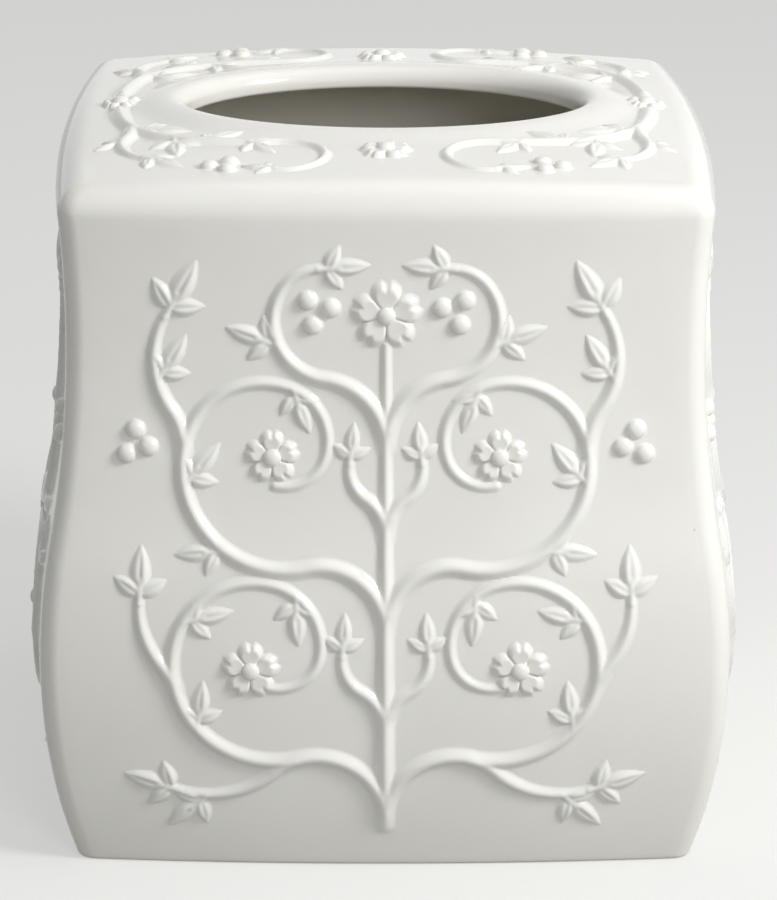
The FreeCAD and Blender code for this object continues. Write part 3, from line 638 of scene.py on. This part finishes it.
bowSag = waistHalf ** 2 / (2 * shell["bowRadius"])
flatHalf = waistHalf - bowSag - shell["cornerRadius"]
sideTop = float(crownTop(0, waistHalf)) - shell["edgeRadius"]
fieldHeight = sideTop - foliage["headMargin"] - foliage["footMargin"]
sideScale = min((flatHalf - foliage["sideMargin"]) / sideScroll["half"], fieldHeight / sideScroll["height"])
fieldFoot = -foliage["footMargin"] / 2
fieldX, fieldY = np.meshgrid(latticeAxis(-flatHalf, flatHalf), latticeAxis(fieldFoot, fieldHeight))
front = foliagePieces("front", sideScroll, fieldX, fieldY, sideScale, False, frontGround)
for kind, piece in front.items():
    settle(piece, f"front_{kind}")
    for turn, side in enumerate(("right", "back", "left"), start=1):  # copies, a quarter turn on each time
        copy = bpy.data.objects.new(f"{side}{kind.capitalize()}", piece.data.copy())
        copy.data.name = copy.name
        copy.data.transform(Matrix.Rotation(turn * math.pi / 2, 4, "Z"))
        bpy.context.collection.objects.link(copy)
        settle(copy, f"{side}_{kind}")
    print("side", kind, len(piece.data.polygons), "faces")

topEdge = float(sideHalf(sideTop)) - shell["edgeRadius"]
topScale = (topEdge - bowSag - foliage["rimMargin"]) / topGarland["half"]
fieldX, fieldY = np.meshgrid(latticeAxis(-topEdge, topEdge), latticeAxis(-topEdge, topEdge))
for kind, piece in foliagePieces("top", topGarland, fieldX, fieldY, topScale, True, topGround).items():
    settle(piece, f"top_{kind}")
    print("top", kind, len(piece.data.polygons), "faces")


# Materials

def linear(hexColour):  # sRGB hex to a linear colour
    parts = [int(hexColour[k:k + 2], 16) / 255 for k in (1, 3, 5)]
    return [part / 12.92 if part <= 0.04045 else ((part + 0.055) / 1.055) ** 2.4 for part in parts] + [1.0]


def addNode(tree, kind, settings, links):  # one node with its settings and links, each by name or socket
    node = tree.nodes.new(kind)
    for name, value in settings.items():
        if isinstance(name, str) and hasattr(node, name):
            setattr(node, name, value)
        else:
            node.inputs[name].default_value = value
    for name, source in links.items():
        tree.links.new(source, node.inputs[name])
    return node


porcelain = {
    "body": "#F3F2ED",
    "shade": "#EEEDE7",         # where the glaze lies a little thicker
    "inside": "#F2EFE5",        # creamier: painted warm light that bounces round the inside of the shell
    "speck": "#8F8878",
    "bisque": "#EAE5DA",        # bare rim of the foot
    "clouding": 46.0,           # mm, slow change of tone
    "cloudSpan": (0.35, 0.65),  # noise values between which the tone changes
    "peel": 7.0,                # mm, orange peel of the glaze
    "peelDepth": 0.02,
    "ripple": 1.8,              # mm, fine ripple
    "rippleDepth": 0.003,
    "speckCell": 24.0,          # mm, room round one speck
    "speckRadius": 0.22,
    "speckChance": 0.45,        # share of the rooms that hold one
    "speckStrength": 0.4,
    "bareRim": 0.5,             # mm above the table that the glaze stops
    "rimBlur": 0.1,             # mm to either side of that line
    "roughness": (0.07, 0.15),  # fired glaze, least and most
    "bareRoughness": 0.62,
    "ior": 1.5,
    "milkiness": 0.1,           # share of light that scatters in the body
    "milkDepth": 1.5,           # mm, how deep it scatters
    "milkTint": (1.0, 0.85, 0.65),
}


def glazedPorcelain():  # clear gloss glaze over white porcelain: milky body, soft highlights, faint ripple
    material = bpy.data.materials.new("glazedPorcelain")
    material.use_nodes = True
    tree = material.node_tree
    tree.nodes.clear()
    spot = addNode(tree, "ShaderNodeTexCoord", {}, {}).outputs["Object"]

    # tone: slow clouds and a few iron specks
    clouds = addNode(tree, "ShaderNodeTexNoise", {"Scale": 1 / (porcelain["clouding"] * mm), "Detail": 3.0},
                     {"Vector": spot}).outputs["Fac"]
    low, high = porcelain["cloudSpan"]
    tone = addNode(tree, "ShaderNodeMapRange", {"From Min": low, "From Max": high}, {"Value": clouds})
    ground = addNode(tree, "ShaderNodeMix",
                     {"data_type": "RGBA", 6: linear(porcelain["body"]), 7: linear(porcelain["shade"])},
                     {0: tone.outputs["Result"]})
    cells = addNode(tree, "ShaderNodeTexVoronoi", {"Scale": 1 / (porcelain["speckCell"] * mm)},
                    {"Vector": spot})
    tiny = addNode(tree, "ShaderNodeMath",
                   {"operation": "LESS_THAN", 1: porcelain["speckRadius"] / porcelain["speckCell"]},
                   {0: cells.outputs["Distance"]})
    chance = addNode(tree, "ShaderNodeSeparateColor", {}, {"Color": cells.outputs["Color"]})
    few = addNode(tree, "ShaderNodeMath", {"operation": "GREATER_THAN", 1: 1 - porcelain["speckChance"]},
                  {0: chance.outputs["Red"]})
    speck = addNode(tree, "ShaderNodeMath", {"operation": "MULTIPLY"},
                    {0: tiny.outputs[0], 1: few.outputs[0]})
    faint = addNode(tree, "ShaderNodeMath", {"operation": "MULTIPLY", 1: porcelain["speckStrength"]},
                    {0: speck.outputs[0]})
    specked = addNode(tree, "ShaderNodeMix", {"data_type": "RGBA", 7: linear(porcelain["speck"])},
                      {0: faint.outputs[0], 6: ground.outputs[2]})

    # creamier inside: painted warm light that bounces round the inside of the shell
    within = addNode(tree, "ShaderNodeAttribute", {"attribute_name": "inside"}, {})
    bounceTinted = addNode(tree, "ShaderNodeMix", {"data_type": "RGBA", 7: linear(porcelain["inside"])},
                    {0: within.outputs["Fac"], 6: specked.outputs[2]})

    # bare biscuit on the rim that stands on the table
    place = addNode(tree, "ShaderNodeSeparateXYZ", {}, {"Vector": spot})
    rimTop = (porcelain["bareRim"] + porcelain["rimBlur"]) * mm
    rimEdge = (porcelain["bareRim"] - porcelain["rimBlur"]) * mm
    bare = addNode(tree, "ShaderNodeMapRange", {"From Min": rimTop, "From Max": rimEdge},
                   {"Value": place.outputs["Z"]}).outputs["Result"]
    colour = addNode(tree, "ShaderNodeMix", {"data_type": "RGBA", 7: linear(porcelain["bisque"])},
                     {0: bare, 6: bounceTinted.outputs[2]})
    least, most = porcelain["roughness"]
    sheen = addNode(tree, "ShaderNodeMapRange", {"To Min": least, "To Max": most}, {"Value": clouds})
    rough = addNode(tree, "ShaderNodeMix", {"data_type": "FLOAT", 3: porcelain["bareRoughness"]},
                    {0: bare, 2: sheen.outputs["Result"]})

    # orange peel and fine ripple of the fired glaze
    peel = addNode(tree, "ShaderNodeTexNoise", {"Scale": 1 / (porcelain["peel"] * mm), "Detail": 1.0},
                   {"Vector": spot})
    waves = addNode(tree, "ShaderNodeBump", {"Strength": 1.0, "Distance": porcelain["peelDepth"] * mm},
                    {"Height": peel.outputs["Fac"]})
    ripple = addNode(tree, "ShaderNodeTexNoise", {"Scale": 1 / (porcelain["ripple"] * mm), "Detail": 2.0},
                     {"Vector": spot})
    skin = addNode(tree, "ShaderNodeBump", {"Strength": 1.0, "Distance": porcelain["rippleDepth"] * mm},
                   {"Height": ripple.outputs["Fac"], "Normal": waves.outputs["Normal"]})

    surface = addNode(tree, "ShaderNodeBsdfPrincipled",
                      {"IOR": porcelain["ior"], "Subsurface Weight": porcelain["milkiness"],
                       "Subsurface Radius": porcelain["milkTint"],
                       "Subsurface Scale": porcelain["milkDepth"] * mm},
                      {"Base Color": colour.outputs[2], "Roughness": rough.outputs[0],
                       "Normal": skin.outputs["Normal"]})
    addNode(tree, "ShaderNodeOutputMaterial", {}, {"Surface": surface.outputs["BSDF"]})
    return material


glaze = glazedPorcelain()
for piece in pieces:
    piece.data.materials.clear()
    piece.data.materials.append(glaze)
print("material:", glaze.name, "on", len(pieces), "pieces")


# Stage, light and camera

stage = {
    "floorSize": 6.0,
    "floor": "#F4F4F2",
    "floorBounce": "#A8A8A6",  # what the floor throws back at the object
    "paleness": 0.5,           # share of plain white in the floor as the camera sees it
    "worldStrength": 0.30,
    "aim": (0.0, 0.0, 0.08),   # the point that the lamps face
}


def seenRays(tree):  # 1 for rays from the camera, off gloss and through glass, 0 for the light on the object
    path = addNode(tree, "ShaderNodeLightPath", {}, {})
    gloss = addNode(tree, "ShaderNodeMath", {"operation": "MAXIMUM"},
                    {0: path.outputs["Is Camera Ray"], 1: path.outputs["Is Glossy Ray"]})
    clear = addNode(tree, "ShaderNodeMath", {"operation": "MAXIMUM"},
                    {0: gloss.outputs[0], 1: path.outputs["Is Transmission Ray"]})
    return clear.outputs[0]


def paleFloor():  # matt white table that takes the shadow; the camera sees it paler than it is lit
    deselectAll()
    bpy.ops.mesh.primitive_plane_add(size=stage["floorSize"], location=(0, 0, 0))
    floor = bpy.context.object
    floor.name = "floor"
    material = bpy.data.materials.new("paleTable")
    material.use_nodes = True
    tree = material.node_tree
    tree.nodes.clear()
    seen = seenRays(tree)
    colour = addNode(tree, "ShaderNodeMix",
                     {"data_type": "RGBA", 6: linear(stage["floorBounce"]), 7: linear(stage["floor"])},
                     {0: seen})
    matt = addNode(tree, "ShaderNodeBsdfDiffuse", {}, {"Color": colour.outputs[2]})
    plain = addNode(tree, "ShaderNodeEmission", {"Color": linear(stage["floor"])}, {})
    share = addNode(tree, "ShaderNodeMath", {"operation": "MULTIPLY", 1: stage["paleness"]}, {0: seen})
    surface = addNode(tree, "ShaderNodeMixShader", {},
                      {0: share.outputs[0], 1: matt.outputs["BSDF"], 2: plain.outputs["Emission"]})
    addNode(tree, "ShaderNodeOutputMaterial", {}, {"Surface": surface.outputs["Shader"]})
    floor.data.materials.append(material)


def whiteRoom():  # soft white room; the camera and the reflections see it as plain white
    world = bpy.data.worlds.new("whiteRoom")
    bpy.context.scene.world = world
    world.use_nodes = True
    tree = world.node_tree
    tree.nodes.clear()
    level = addNode(tree, "ShaderNodeMapRange", {"To Min": stage["worldStrength"], "To Max": 1.0},
                    {"Value": seenRays(tree)})
    glow = addNode(tree, "ShaderNodeBackground", {"Color": (1, 1, 1, 1)},
                   {"Strength": level.outputs["Result"]})
    addNode(tree, "ShaderNodeOutputWorld", {}, {"Surface": glow.outputs["Background"]})


lamps = {  # place in metres, size in metres, watts, and whether the glaze mirrors it
    "keyRight": ((0.64, -0.42, 0.58), 0.26, 5.2, True),
    "softAbove": ((0.22, 0.02, 0.95), 0.70, 1.25, True),
    "frontFill": ((0.32, -1.02, 0.52), 0.30, 2.2, False),
}


def hangLamps():
    for name, (place, size, watts, mirrored) in lamps.items():
        lamp = bpy.data.lights.new(name, "AREA")
        lamp.size = size
        lamp.energy = watts
        holder = bpy.data.objects.new(name, lamp)
        holder.location = place
        holder.visible_glossy = mirrored
        facing = Vector(stage["aim"]) - Vector(place)
        holder.rotation_euler = facing.to_track_quat("-Z", "Y").to_euler()
        bpy.context.collection.objects.link(holder)


view = {
    "target": (0.0, 0.0, 0.07155),
    "distance": 0.8989,
    "elevation": 17.06,
    "yaw": -0.55,
    "roll": 0.195,
    "lens": 167.09,
    "shift": (0.0065, -0.0144),
}


def setCamera():
    up, side, lean = (math.radians(view[key]) for key in ("elevation", "yaw", "roll"))
    back = Vector((math.sin(side) * math.cos(up), -math.cos(side) * math.cos(up), math.sin(up)))
    right = Vector((0, 0, 1)).cross(back).normalized()
    above = back.cross(right)
    tilted = right * math.cos(lean) + above * math.sin(lean)
    upright = above * math.cos(lean) - right * math.sin(lean)
    camera = bpy.data.cameras.new("camera")
    camera.lens = view["lens"]
    camera.shift_x, camera.shift_y = view["shift"]
    holder = bpy.data.objects.new("camera", camera)
    place = Matrix((tilted, upright, back)).transposed().to_4x4()
    place.translation = Vector(view["target"]) + back * view["distance"]
    holder.matrix_world = place
    bpy.context.collection.objects.link(holder)
    bpy.context.scene.camera = holder


paleFloor()
whiteRoom()
hangLamps()
setCamera()
bpy.context.scene.view_settings.view_transform = "Standard"
print("stage, lamps and camera set")
